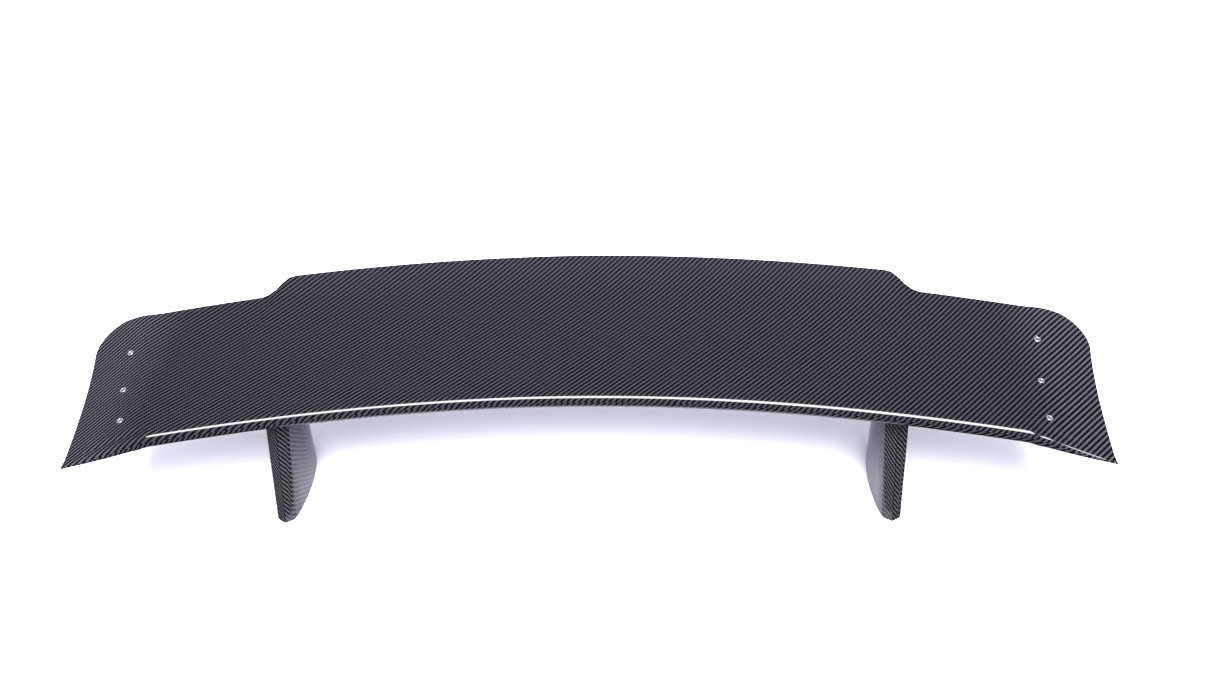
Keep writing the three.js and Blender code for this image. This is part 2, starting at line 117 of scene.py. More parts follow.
def facetAt(x, depth):
    b = bladeShape
    outboard = abs(x) - b["bendX"] - b["facetStart"]
    width = b["facetWidth"] * (1 - b["facetTaper"] * smooth(outboard, 0, b["tipX"] - b["bendX"]))
    share = smooth(outboard, -b["facetStart"], 0)
    return b["facetDrop"] * share * max(0, 1 - max(0, depth) / width)


def upperHeight(x, depth):
    b = bladeShape
    distance = abs(x)
    crease = b["creaseX"] + b["creaseSpread"] * (b["creaseChord"] - depth)
    outboard = smooth(distance, crease - b["creaseHalfWidth"], crease + b["creaseHalfWidth"])
    inner = b["centreKick"] + b["centreKickFade"] * distance
    outer = b["outerKick"] + b["outerKickFade"] * max(0, distance - b["stepOuterX"])
    lift = max(0, (depth - b["kickStart"]) / b["kickRun"]) ** b["kickPower"]
    rise = b["deckSlope"] * depth + mix(inner, outer, outboard) * lift
    return leadingEdge(x)[1] + rise - droopAt(x, depth) - facetAt(x, depth)


def thicknessAt(x, fraction):
    b = bladeShape
    full = b["edgeThickness"] + b["thicknessGain"] * (1 - fraction ** b["thicknessPower"])
    outboard = max(0, (abs(x) - b["bendX"]) / (sideEdge(fraction) - b["bendX"]))
    return mix(full, min(full, b["sideThickness"]), min(1, outboard) ** b["sideThinningPower"])


# The blade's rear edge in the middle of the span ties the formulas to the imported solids.
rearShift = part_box("blade_upper_skin")[1].y / metre - bladeShape["rearY"]


def inFrame(x, y, z):
    return Vector((x, y + rearShift, z)) * metre


mergeDistance = 2e-6
spinMergeDistance = 1e-7
clothSharpAngle = 38
plainSharpAngle = 30


# A sheet of cloth laid out as a grid: place gives the point and cloth the position on the roll, in metres.
def clothGrid(name, columns, rows, place, cloth):
    mesh = bmesh.new()
    bmesh.ops.create_grid(mesh, x_segments=columns, y_segments=rows, size=1)
    steps = {}
    for vertex in mesh.verts:
        column = round((vertex.co.x + 1) / 2 * columns)
        steps[vertex] = (column, round((vertex.co.y + 1) / 2 * rows))
    layer = mesh.loops.layers.uv.new("cloth")
    for face in mesh.faces:
        for corner in face.loops:
            corner[layer].uv = cloth(*steps[corner.vert])
    for vertex, step in steps.items():
        vertex.co = place(*step)
    bmesh.ops.remove_doubles(mesh, verts=mesh.verts, dist=mergeDistance)
    bmesh.ops.dissolve_degenerate(mesh, edges=mesh.edges, dist=mergeDistance)
    bmesh.ops.recalc_face_normals(mesh, faces=mesh.faces)
    return finishedPiece(name, mesh, clothSharpAngle)


def finishedPiece(name, mesh, sharpDegrees):
    data = bpy.data.meshes.new(name)
    mesh.to_mesh(data)
    mesh.free()
    data.shade_smooth()
    data.set_sharp_from_angle(angle=math.radians(sharpDegrees))
    piece = bpy.data.objects.new(name, data)
    bpy.context.scene.collection.objects.link(piece)
    return piece


# Lines of the skins, from the rear rim to the front of the nose and from one end to the other.
skinDetail = {
    "rimSteps": 4, "cornerSteps": 14, "chordSteps": 34, "noseSteps": 20, "endSteps": 22, "spanStep": 9,
    "cornerOffset": 0.6, "cornerReach": 0.985, "cornerGap": 0.012, "chordEase": 0.6, "endSpacing": 0.9,
    "clothStartLines": 8, "clothDrape": 0.044,
}


def chordLines():
    d = skinDetail
    lines = [("wall", 0)]
    lines += [("rim", math.pi / 2 * (1 - k / d["rimSteps"])) for k in range(d["rimSteps"])]
    start = bladeShape["cornerStart"]
    power = 2 / bladeShape["cornerPower"]
    for k in range(d["cornerSteps"]):
        corner = math.sin(math.pi / 2 * (1 - (k + d["cornerOffset"]) / d["cornerSteps"]))
        lines.append(("deck", start + (1 - start) * d["cornerReach"] * max(0, corner) ** power))
    nose = bladeShape["noseFraction"]
    for k in range(d["chordSteps"] + 1):
        share = k / d["chordSteps"]
        eased = mix(share, math.sin(math.pi / 2 * share), d["chordEase"])
        lines.append(("deck", mix(start - d["cornerGap"], nose, eased)))
    for k in range(1, d["noseSteps"] + 1):
        lines.append(("nose", math.pi / 2 * (1 - smooth(k, 0, d["noseSteps"]))))
    return lines


def spanLines():
    d = skinDetail
    count = round(bladeShape["bendX"] / d["spanStep"])
    half = [("span", k / count) for k in range(1, count + 1)]
    half += [("span", 1 + (k / d["endSteps"]) ** d["endSpacing"]) for k in range(1, d["endSteps"] + 1)]
    half += [("rim", math.pi / 2 * k / d["rimSteps"]) for k in range(1, d["rimSteps"] + 1)]
    half.append(("wall", 0))
    left = [(kind, value, -1) for kind, value in reversed(half)]
    right = [(kind, value, 1) for kind, value in half]
    return left + [("span", 0, 1)] + right


# A point of a skin. Side is 1 above and -1 below; sunk is the distance under the outside.
def skinPoint(side, chordLine, spanLine, sunk):
    b = bladeShape
    radius = b["rimRadius"]
    kind, value = chordLine
    fraction = {"wall": 1, "rim": 1, "deck": value, "nose": b["noseFraction"]}[kind]
    edge = sideEdge(fraction)
    spanKind, station, sign = spanLine
    if spanKind == "span":
        outboard = max(0, station - 1) * (edge - radius - b["bendX"])
        x = min(1, station) * b["bendX"] + outboard
        sideDrop = 0
    else:
        angle = math.pi / 2 if spanKind == "wall" else station
        x = edge - radius + radius * math.sin(angle)
        sideDrop = radius * (1 - math.cos(angle))
    x *= sign
    depth = chordAt(x) * fraction
    rearDrop = 0
    if kind == "rim":
        depth -= radius * (1 - math.sin(value))
        rearDrop = radius * (1 - math.cos(value))
    half = thicknessAt(x, fraction) / 2
    middle = upperHeight(x, depth) - half
    closing = kind == "wall" or spanKind == "wall"
    rise = 0 if closing else half - max(sideDrop, rearDrop)
    y = leadingEdge(x)[0] + depth
    if sunk and spanKind != "wall":
        rise = min(rise, half - sunk)
    if kind == "nose":
        shrink = max(b["bondGap"], half - sunk) / half if spanKind != "wall" else 1
        reach = (depth + b["noseOverhang"] * min(1, half / b["noseOverhang"])) * shrink
        power = 2 / b["noseUpperPower" if side > 0 else "noseLowerPower"]
        share = max(0, math.sin(value)) ** power
        lean = b["noseLean"] * half * shrink if side > 0 else 0
        y -= (reach - lean) * max(0, math.cos(value)) ** power + lean * (1 - share)
        lift = b["noseSeamRise"] * max(0, rise)
        rise = (rise - side * lift) * share
        middle += lift
    return x, y, middle + side * max(b["bondGap"], rise)


# Follows the surface from the flattest part of the deck, so that the weave keeps its size round the nose.
def clothAlong(points, start):
    b = bladeShape
    along = [0.0] * len(points)
    along[start] = points[start][1]
    for k in range(start + 1, len(points)):
        along[k] = along[k - 1] - math.dist(points[k][1:], points[k - 1][1:])
    for k in range(start - 1, -1, -1):
        along[k] = along[k + 1] + math.dist(points[k][1:], points[k + 1][1:])
    drape = skinDetail["clothDrape"]
    across = [math.copysign(abs(p[0]) + drape * max(0, abs(p[0]) - b["bendX"]), p[0]) for p in points]
    return list(zip(across, along))


def bladeSkin(name, side):
    chord = chordLines()
    span = spanLines()
    outside = [[skinPoint(side, line, station, 0) for line in chord] for station in span]
    inside = [[skinPoint(side, line, station, bladeShape["skin"]) for line in chord] for station in span]
    start = len(chord) - skinDetail["noseSteps"] - skinDetail["clothStartLines"]
    roll = [clothAlong(points, start) for points in outside]
    last = 2 * len(chord) - 1

    def place(i, j):
        point = outside[j][i] if i < len(chord) else inside[j][last - i]
        return inFrame(*point)

    def cloth(i, j):
        u, v = roll[j][min(i, last - i)]
        return u * metre, side * v * metre

    return clothGrid(name, last, len(span) - 1, place, cloth)


# Height and tilt of the upper surface at a plan position, as a matrix in the row frame.
def seatAt(x, y):
    def heightAt(px, py):
        return upperHeight(px, py - leadingEdge(px)[0])
    slopeX = (heightAt(x + 1, y) - heightAt(x - 1, y)) / 2
    slopeY = (heightAt(x, y + 1) - heightAt(x, y - 1)) / 2
    normal = Vector((-slopeX, -slopeY, 1)).normalized()
    turn = normal.to_track_quat("Z", "Y").to_matrix().to_4x4()
    return Matrix.Translation(inFrame(x, y, heightAt(x, y))) @ turn


# Flanged sleeves through the drooped ends, in millimetres.
sleeves = {
    "left_rear": (-632, 90), "left_middle": (-620, 21), "left_front": (-604, -37),
    "right_rear": (613, 98), "right_middle": (598, 21), "right_front": (591, -45),
}
sleeveShape = {
    "flangeRadius": 4.5, "sleeveRadius": 3.4, "boreRadius": 2.6, "lift": 0.3, "flangeHeight": 0.8,
    "rimHeight": 0.15, "domeSteps": 9, "chamfer": 0.35, "holeRadius": 3.7, "drillLength": 50, "steps": 48,
}


def sleevePiece(name, x, y):
    s = sleeveShape
    depth = y - leadingEdge(x)[0]
    length = thicknessAt(x, depth / chordAt(x)) - s["lift"]
    cut = s["chamfer"]
    rim = s["lift"] + s["rimHeight"]
    profile = [
        (s["boreRadius"], -length + cut), (s["boreRadius"] + cut, -length), (s["sleeveRadius"], -length),
        (s["sleeveRadius"], s["lift"]), (s["flangeRadius"], s["lift"]), (s["flangeRadius"], rim),
    ]
    width = s["flangeRadius"] - s["boreRadius"]
    for k in range(1, s["domeSteps"]):
        turn = math.pi * k / s["domeSteps"]
        dome = (s["flangeHeight"] - s["rimHeight"]) * math.sin(turn)
        profile.append((s["boreRadius"] + width * (0.5 + 0.5 * math.cos(turn)), rim + dome))
    profile.append((s["boreRadius"], s["lift"]))
    mesh = bmesh.new()
    ring = [mesh.verts.new((r * metre, 0, z * metre)) for r, z in profile]
    edges = [mesh.edges.new((ring[k], ring[(k + 1) % len(ring)])) for k in range(len(ring))]
    bmesh.ops.spin(mesh, geom=ring + edges, cent=(0, 0, 0), axis=(0, 0, 1), angle=2 * math.pi,
                   steps=s["steps"], use_merge=True)
    bmesh.ops.remove_doubles(mesh, verts=mesh.verts, dist=spinMergeDistance)
    bmesh.ops.recalc_face_normals(mesh, faces=mesh.faces)
    bmesh.ops.transform(mesh, matrix=seatAt(x, y), verts=mesh.verts)
    return finishedPiece(name, mesh, plainSharpAngle)


# Cuts the sleeve holes through a skin.
def drillSkin(skin):
    radius = sleeveShape["holeRadius"] * metre
    length = sleeveShape["drillLength"] * metre
    mesh = bmesh.new()
    for x, y in sleeves.values():
        drill = bmesh.ops.create_cone(mesh, cap_ends=True, segments=sleeveShape["steps"], radius1=radius,
                                      radius2=radius, depth=length)
        bmesh.ops.transform(mesh, matrix=seatAt(x, y), verts=drill["verts"])
    drills = finishedPiece("drills", mesh, plainSharpAngle)
    cut = skin.modifiers.new("holes", "BOOLEAN")
    cut.operation = "DIFFERENCE"
    cut.solver = "EXACT"
    cut.object = drills
    worked = skin.evaluated_get(bpy.context.evaluated_depsgraph_get())
    drilled = bpy.data.meshes.new_from_object(worked)
    skin.modifiers.clear()
    skin.data = drilled
    bpy.data.objects.remove(drills)


# Uprights, in millimetres. Widths are half widths from the centre plane.
uprightShape = {
    "x": 410, "height": 164, "footNose": -68, "topNose": -6, "tail": 88, "footHalf": 19.7, "topHalf": 20.5,
    "facetDepth": 7.5, "footShoulder": 12, "topShoulder": 16.5, "wall": 2.4, "gap": 0.15, "bladeGap": 0.3,
    "frontAlong": 0.20, "frontWidening": 0.62, "crestAlong": 0.47, "rearAlong": 0.73, "rearWidth": 0.84,
    "tailAlong": 0.90, "tailWidth": 0.47, "footShoulderRound": 4.5, "topShoulderRound": 1.4,
    "innerShoulderRound": 0.02, "ridgeRound": 0.7, "facetShares": (0.1, 0.25, 0.4, 0.55),
    "bendShares": (0, 0.25, 0.5, 0.75, 1), "flankSteps": 45, "rows": 12, "trimStart": 0.92, "trimRounds": 6,
    "clothScale": 1.27,
}


def catmullRom(points, steps):
    made = []
    last = len(points) - 1
    for k in range(steps + 1):
        place = k / steps * last
        i = min(int(place), last - 1)
        t = place - i
        p0, p1, p2, p3 = points[max(0, i - 1)], points[i], points[i + 1], points[min(last, i + 2)]
        pair = []
        for axis in range(2):
            v0 = (p2[axis] - p0[axis]) / 2
            v1 = (p3[axis] - p1[axis]) / 2
            cubic = 2 * p1[axis] - 2 * p2[axis] + v0 + v1
            square = -3 * p1[axis] + 3 * p2[axis] - 2 * v0 - v1
            pair.append(cubic * t ** 3 + square * t ** 2 + v0 * t + p1[axis])
        made.append(tuple(pair))
    return made


# Half outline at the foot (share 0) or the top (share 1), from the ridge of the nose to the tail.
def uprightOutline(share, rounded):
    u = uprightShape
    nose = mix(u["footNose"], u["topNose"], share)
    shoulder = mix(u["footShoulder"], u["topShoulder"], share)
    widest = mix(u["footHalf"], u["topHalf"], share)
    body = u["tail"] - nose
    flank = catmullRom([
        (nose + u["facetDepth"], shoulder),
        (nose + u["frontAlong"] * body, mix(shoulder, widest, u["frontWidening"])),
        (nose + u["crestAlong"] * body, widest), (nose + u["rearAlong"] * body, u["rearWidth"] * widest),
        (nose + u["tailAlong"] * body, u["tailWidth"] * widest), (u["tail"], 0)], u["flankSteps"])
    corner = Vector(flank[0])
    facet = Vector((u["facetDepth"], shoulder))
    reach = u["innerShoulderRound"]
    if rounded:
        reach = mix(u["footShoulderRound"], u["topShoulderRound"], share)
    before = corner - facet.normalized() * reach
    after = corner + (Vector(flank[1]) - corner).normalized() * reach
    bend = [before.lerp(corner, t).lerp(corner.lerp(after, t), t) for t in u["bendShares"]]
    ridge = u["ridgeRound"] if rounded else 0
    start = [(nose + ridge * 0.9, u["gap"]), (nose + ridge * 0.35, u["gap"] + ridge * 0.35)]
    start += [(nose + facet.x * t, facet.y * t) for t in u["facetShares"]]
    return start + [tuple(p) for p in bend] + flank[1:-1] + [(u["tail"], u["gap"])]


def insetOutline(outline, distance):
    last = len(outline) - 1
    moved = []
    for i, point in enumerate(outline):
        before = Vector(outline[max(0, i - 1)])
        after = Vector(outline[min(last, i + 1)])
        along = (after - before).normalized()
        y = point[0] + along.y * distance
        moved.append((y, max(uprightShape["gap"], point[1] - along.x * distance)))
    return moved


def underside(x, y):
    depth = y - leadingEdge(x)[0]
    return upperHeight(x, depth) - thicknessAt(x, depth / chordAt(x))


def uprightHalf(name, centre, side):
    u = uprightShape
    foot = uprightOutline(0, True)
    top = uprightOutline(1, True)
    footInside = insetOutline(uprightOutline(0, False), u["wall"])
    topInside = insetOutline(uprightOutline(1, False), u["wall"])
    low = foot + footInside[::-1]
    high = top + topInside[::-1]
    count = len(low)

    def pointAt(i, share):
        y = mix(low[i][0], high[i][0], share)
        width = mix(low[i][1], high[i][1], share)
        return centre + side * width, y, share * u["height"]

    ends = []
    for i in range(count):
        share = u["trimStart"]
        for _ in range(u["trimRounds"]):
            x, y, _z = pointAt(i, share)
            share = (underside(x, y) - u["bladeGap"]) / u["height"]
        ends.append(share)
    around = [0.0]
    for k in range(1, len(foot)):
        around.append(around[-1] + math.dist(top[k], top[k - 1]))

    def place(i, j):
        ring = i % count
        if j == 0 or j == u["rows"] + 2:
            other = count - 1 - ring
            outer = pointAt(ring, 0 if j == 0 else ends[ring])
            inner = pointAt(other, 0 if j == 0 else ends[other])
            return inFrame(*[(a + b) / 2 for a, b in zip(outer, inner)])
        return inFrame(*pointAt(ring, (j - 1) / u["rows"] * ends[ring]))

    def cloth(i, j):
        ring = i if i < len(foot) else max(0, count - 1 - i)
        height = min(max(j - 1, 0), u["rows"]) / u["rows"] * ends[ring] * u["height"]
        return -side * around[ring] * u["clothScale"] * metre, height * u["clothScale"] * metre

    return clothGrid(name, count, u["rows"] + 2, place, cloth)


print("shapes ready")


# Node helpers.
def link(tree, value, socket):
    if isinstance(value, bpy.types.NodeSocket):
        tree.links.new(value, socket)
    else:
        socket.default_value = value


def calc(tree, operation, first, second=0.0, third=0.0):
    node = tree.nodes.new("ShaderNodeMath")
    node.operation = operation
    for value, socket in zip((first, second, third), node.inputs):
        link(tree, value, socket)
    return node.outputs[0]


def blendColour(tree, share, first, second, mode="MIX"):
    node = tree.nodes.new("ShaderNodeMix")
    node.data_type = "RGBA"
    node.blend_type = mode
    link(tree, share, node.inputs["Factor"])
    link(tree, first, node.inputs[6])
    link(tree, second, node.inputs[7])
    return node.outputs[2]


def blendValue(tree, share, first, second):
    return calc(tree, "MULTIPLY_ADD", share, calc(tree, "SUBTRACT", second, first), first)


def stretched(tree, coordinate, scale):
    node = tree.nodes.new("ShaderNodeMapping")
    tree.links.new(coordinate, node.inputs["Vector"])
    node.inputs["Scale"].default_value = scale
    return node.outputs[0]


def grain(tree, coordinate, scale, detail=2.0, roughness=0.5):
    node = tree.nodes.new("ShaderNodeTexNoise")
    tree.links.new(coordinate, node.inputs["Vector"])
    node.inputs["Scale"].default_value = scale
    node.inputs["Detail"].default_value = detail
    node.inputs["Roughness"].default_value = roughness
    return node.outputs["Fac"]


def effectGroup(name, inputs, outputs):
    group = bpy.data.node_groups.new(name, "ShaderNodeTree")
    for label, kind, value in inputs:
        socket = group.interface.new_socket(name=label, in_out="INPUT", socket_type=kind)
        if value is not None:
            socket.default_value = value
    for label, kind in outputs:
        group.interface.new_socket(name=label, in_out="OUTPUT", socket_type=kind)
    return group, group.nodes.new("NodeGroupInput").outputs, group.nodes.new("NodeGroupOutput").inputs


# Two over, two under cloth: which tow lies on top, how it arches and how its filaments streak.
# The tow's width is in metres and driftScale is per metre. repeat, floatLength and warpBelow count tows.
twillShape = {
    "tow": 0.002, "repeat": 4.0, "floatLength": 2.0, "warpBelow": 1.5, "driftScale": 60, "driftDetail": 1.5,
    "acrossFlatness": 0.5, "alongFlatness": 0.6, "alongShare": 0.6, "acrossShare": 0.4,
    "valleySharpness": 1.0, "streakFine": 18, "streakLong": 0.5, "streakDetail": 2.0,
}


def twillGroup():
    t = twillShape
    tree, given, made = effectGroup("twillWeave", [
        ("Cloth", "NodeSocketVector", None), ("Tow", "NodeSocketFloat", t["tow"]),
        ("Wander", "NodeSocketFloat", 0.1)], [
        ("Warp", "NodeSocketFloat"), ("Height", "NodeSocketFloat"), ("Streak", "NodeSocketFloat"),
        ("Valley", "NodeSocketFloat")])
    shifted = tree.nodes.new("ShaderNodeTexNoise")
    tree.links.new(given["Cloth"], shifted.inputs["Vector"])
    shifted.inputs["Scale"].default_value = t["driftScale"]
    shifted.inputs["Detail"].default_value = t["driftDetail"]
    drift = tree.nodes.new("ShaderNodeVectorMath")
    drift.operation = "SUBTRACT"
    tree.links.new(shifted.outputs["Color"], drift.inputs[0])
    drift.inputs[1].default_value = (0.5, 0.5, 0.5)
    wander = tree.nodes.new("ShaderNodeVectorMath")
    wander.operation = "SCALE"
    tree.links.new(drift.outputs[0], wander.inputs[0])
    tree.links.new(given["Wander"], wander.inputs["Scale"])
    tows = tree.nodes.new("ShaderNodeVectorMath")
    tows.operation = "SCALE"
    tree.links.new(given["Cloth"], tows.inputs[0])
    tree.links.new(calc(tree, "DIVIDE", 1.0, given["Tow"]), tows.inputs["Scale"])
    total = tree.nodes.new("ShaderNodeVectorMath")
    total.operation = "ADD"
    tree.links.new(tows.outputs[0], total.inputs[0])
    tree.links.new(wander.outputs[0], total.inputs[1])
    parts = tree.nodes.new("ShaderNodeSeparateXYZ")
    tree.links.new(total.outputs[0], parts.inputs[0])
    u, v = parts.outputs[0], parts.outputs[1]
    column = calc(tree, "FLOOR", u)
    row = calc(tree, "FLOOR", v)
    phase = calc(tree, "FLOORED_MODULO", calc(tree, "SUBTRACT", column, row), t["repeat"])
    warp = calc(tree, "LESS_THAN", phase, t["warpBelow"])

    def arch(position, length, flatness):
        share = calc(tree, "DIVIDE", position, length)
        rest = calc(tree, "SUBTRACT", 1.0, share)
        bow = calc(tree, "MULTIPLY", calc(tree, "MULTIPLY", share, rest), 4.0)
        return calc(tree, "POWER", calc(tree, "MAXIMUM", bow, 0.0), flatness)

    length = t["floatLength"]
    warpStart = calc(tree, "ADD", calc(tree, "SUBTRACT", v, column), 1.0)
    weftStart = calc(tree, "SUBTRACT", calc(tree, "SUBTRACT", u, row), 2.0)
    warpRun = calc(tree, "FLOORED_MODULO", warpStart, t["repeat"])
    weftRun = calc(tree, "FLOORED_MODULO", weftStart, t["repeat"])
    warpAcross = arch(calc(tree, "FRACT", u), 1.0, t["acrossFlatness"])
    weftAcross = arch(calc(tree, "FRACT", v), 1.0, t["acrossFlatness"])
    warpAlong = arch(calc(tree, "MINIMUM", warpRun, length), length, t["alongFlatness"])
    weftAlong = arch(calc(tree, "MINIMUM", weftRun, length), length, t["alongFlatness"])
    along = blendValue(tree, warp, weftAlong, warpAlong)
    across = blendValue(tree, warp, weftAcross, warpAcross)
    tree.links.new(warp, made["Warp"])
    crown = calc(tree, "MULTIPLY", across, t["acrossShare"])
    tree.links.new(calc(tree, "MULTIPLY_ADD", along, t["alongShare"], crown), made["Height"])
    gap = calc(tree, "MAXIMUM", calc(tree, "SUBTRACT", 1.0, calc(tree, "MULTIPLY", along, across)), 0.0)
    tree.links.new(calc(tree, "POWER", gap, t["valleySharpness"]), made["Valley"])
    alongWarp = (t["streakFine"], t["streakLong"], 1)
    alongWeft = (t["streakLong"], t["streakFine"], 1)
    warpStreak = grain(tree, stretched(tree, total.outputs[0], alongWarp), 1.0, t["streakDetail"])
    weftStreak = grain(tree, stretched(tree, total.outputs[0], alongWeft), 1.0, t["streakDetail"])
    tree.links.new(blendValue(tree, warp, weftStreak, warpStreak), made["Streak"])
    return tree


# Faint cloudy handling marks on a polished surface.
handlingShape = {"scale": 9, "detail": 5.0, "roughness": 0.62, "clearBelow": 0.45, "fullAbove": 0.75}


def handlingGroup():
    h = handlingShape
    tree, given, made = effectGroup("handlingMarks", [
        ("Position", "NodeSocketVector", None), ("Amount", "NodeSocketFloat", 1.0)],
        [("Haze", "NodeSocketFloat")])
    cloud = grain(tree, given["Position"], h["scale"], h["detail"], h["roughness"])
    haze = tree.nodes.new("ShaderNodeMapRange")
    tree.links.new(cloud, haze.inputs["Value"])
    haze.inputs["From Min"].default_value = h["clearBelow"]
    haze.inputs["From Max"].default_value = h["fullAbove"]
    tree.links.new(calc(tree, "MULTIPLY", haze.outputs[0], given["Amount"]), made["Haze"])
    return tree


twill = twillGroup()
handling = handlingGroup()


def newMaterial(name):
    material = bpy.data.materials.new(name)
    material.use_nodes = True
    tree = material.node_tree
    return material, tree, tree.nodes["Principled BSDF"]


def useGroup(tree, group, values):
    node = tree.nodes.new("ShaderNodeGroup")
    node.node_tree = group
    for label, value in values.items():
        link(tree, value, node.inputs[label])
    return node.outputs


def objectPosition(tree):
    return tree.nodes.new("ShaderNodeTexCoord").outputs["Object"]


def clothPosition(tree):
    node = tree.nodes.new("ShaderNodeUVMap")
    node.uv_map = "cloth"
    return node.outputs[0]


def bumpFrom(tree, height, distance, strength=1.0):
    node = tree.nodes.new("ShaderNodeBump")
    tree.links.new(height, node.inputs["Height"])
    node.inputs["Distance"].default_value = distance
    node.inputs["Strength"].default_value = strength
    return node.outputs[0]


# Clear-coated carbon cloth. Colours are for the tows that run along and across the roll. The tows across are
# painted
# lighter than the tows along: a painted sheen for the light the fibres throw back, lighter still on the
# drooped ends.
carbonFinishes = {
    "bladeCarbon": {
        "warp": (0.0006, 0.0006, 0.0008, 1), "weftSheen": (0.05, 0.047, 0.061, 1),
        "endWeftSheen": (0.085, 0.08, 0.1, 1), "rough": 0.5, "specular": 0.05,
        "bump": 0.00012, "coat": 1.0, "coatRough": 0.035, "marks": 0.35,
    },
    "uprightCarbon": {
        "warp": (0.0006, 0.0006, 0.0008, 1), "weftSheen": (0.07, 0.066, 0.076, 1),
        "endWeftSheen": (0.07, 0.066, 0.076, 1), "rough": 0.5, "specular": 0.05,
        "bump": 0.00012, "coat": 1.0, "coatRough": 0.05, "marks": 0.5,
    },
}
carbonLayers = {
    "wander": 0.22, "endSheenFrom": 0.57, "endSheenTo": 0.63, "streakGain": 0.9, "streakBase": 0.5,
    "resinAndValleyShade": (0.0008, 0.0008, 0.001, 1), "valleyShadeShare": 0.9, "dust": (0.5, 0.5, 0.55, 1), "dustShare": 0.004,
    "roughGain": 0.18, "roughDrop": 0.09, "coatLoss": -0.12, "coatIndex": 1.5,
}


def carbonMaterial(name):
    finish = carbonFinishes[name]
    c = carbonLayers
    material, tree, shader = newMaterial(name)
    weave = useGroup(tree, twill, {
        "Cloth": clothPosition(tree), "Tow": twillShape["tow"], "Wander": c["wander"]})
    marks = useGroup(tree, handling, {"Position": objectPosition(tree), "Amount": finish["marks"]})
    # Painted sheen: going out from the middle, the tows across turn lighter on the drooped ends, as those
    # ends catch more light.
    across = tree.nodes.new("ShaderNodeSeparateXYZ")
    tree.links.new(objectPosition(tree), across.inputs[0])
    outboard = tree.nodes.new("ShaderNodeMapRange")
    link(tree, calc(tree, "ABSOLUTE", across.outputs[0]), outboard.inputs["Value"])
    outboard.inputs["From Min"].default_value = c["endSheenFrom"]
    outboard.inputs["From Max"].default_value = c["endSheenTo"]
    weftSheen = blendColour(tree, outboard.outputs[0], finish["weftSheen"], finish["endWeftSheen"])
    tows = blendColour(tree, weave["Warp"], weftSheen, finish["warp"])
    streak = calc(tree, "MULTIPLY_ADD", weave["Streak"], c["streakGain"], c["streakBase"])
    streaked = blendColour(tree, 1.0, tows, streak, "MULTIPLY")
    # Painted shade: the valleys between the tows are darkened nearly to black, partly resin and partly shade
    # between the arched tows.
    valleyShaded = blendColour(tree, calc(tree, "MULTIPLY", weave["Valley"], c["valleyShadeShare"]), streaked, c["resinAndValleyShade"])
    dusty = blendColour(tree, calc(tree, "MULTIPLY", marks["Haze"], c["dustShare"]), valleyShaded, c["dust"])
    link(tree, dusty, shader.inputs["Base Color"])
    smoothest = finish["rough"] - c["roughDrop"]
    link(tree, calc(tree, "MULTIPLY_ADD", weave["Streak"], c["roughGain"], smoothest),
         shader.inputs["Roughness"])
    link(tree, calc(tree, "MULTIPLY_ADD", marks["Haze"], c["coatLoss"], finish["coat"]),
         shader.inputs["Coat Weight"])
    shader.inputs["Coat Roughness"].default_value = finish["coatRough"]
    shader.inputs["Coat IOR"].default_value = c["coatIndex"]
    shader.inputs["Specular IOR Level"].default_value = finish["specular"]
    link(tree, bumpFrom(tree, weave["Height"], finish["bump"]), shader.inputs["Normal"])
    return material


# Uncoated laminate on the hidden strips. The tows across are painted lighter than the tows along, a painted
# sheen.
laminateFinish = {
    "wander": 0.3, "weftSheen": (0.05, 0.05, 0.055, 1), "warp": (0.02, 0.02, 0.024, 1),
    "resinAndValleyShade": (0.03, 0.03, 0.03, 1), "resinScale": 120, "resinDetail": 4,
    "roughGain": 0.3, "roughBase": 0.5, "bump": 0.00015,
}


def laminateMaterial():
    finish = laminateFinish
    material, tree, shader = newMaterial("bareLaminate")
    position = objectPosition(tree)
    weave = useGroup(tree, twill, {"Cloth": position, "Tow": twillShape["tow"], "Wander": finish["wander"]})
    tows = blendColour(tree, weave["Warp"], finish["weftSheen"], finish["warp"])
    wet = grain(tree, position, finish["resinScale"], finish["resinDetail"])
    link(tree, blendColour(tree, wet, tows, finish["resinAndValleyShade"]), shader.inputs["Base Color"])
    rough = calc(tree, "MULTIPLY_ADD", weave["Streak"], finish["roughGain"], finish["roughBase"])
    link(tree, rough, shader.inputs["Roughness"])
    link(tree, bumpFrom(tree, weave["Height"], finish["bump"]), shader.inputs["Normal"])
    return material


# Closed-cell foam with cut cells, the hollows of the cells painted darker as painted shade.
foamFinish = {
    "cellScale": 900, "shadedHollow": (0.5, 0.42, 0.24, 1), "wall": (0.74, 0.67, 0.44, 1),
    "patchScale": 80, "roughGain": 0.1, "roughBase": 0.85, "bump": 0.0003,
}


def foamMaterial():
    finish = foamFinish
    material, tree, shader = newMaterial("coreFoam")
    position = objectPosition(tree)
    cells = tree.nodes.new("ShaderNodeTexVoronoi")
    tree.links.new(position, cells.inputs["Vector"])
    cells.inputs["Scale"].default_value = finish["cellScale"]
    tone = blendColour(tree, cells.outputs["Distance"], finish["shadedHollow"], finish["wall"])
    link(tree, tone, shader.inputs["Base Color"])
    patches = grain(tree, position, finish["patchScale"])
    rough = calc(tree, "MULTIPLY_ADD", patches, finish["roughGain"], finish["roughBase"])
    link(tree, rough, shader.inputs["Roughness"])
    link(tree, bumpFrom(tree, cells.outputs["Distance"], finish["bump"]), shader.inputs["Normal"])
    return material


# Milled aluminium with fine parallel cutter marks.
milledFinish = {
    "stretch": (40, 1600, 900), "markDetail": 3.0, "cloudScale": 60, "cloudDetail": 3.0,
    "dark": (0.52, 0.53, 0.55, 1), "light": (0.72, 0.73, 0.75, 1), "worn": (0.42, 0.42, 0.44, 1),
    "wornShare": 0.3, "metallic": 1.0, "roughGain": 0.25, "roughBase": 0.25, "bump": 0.00004,
}


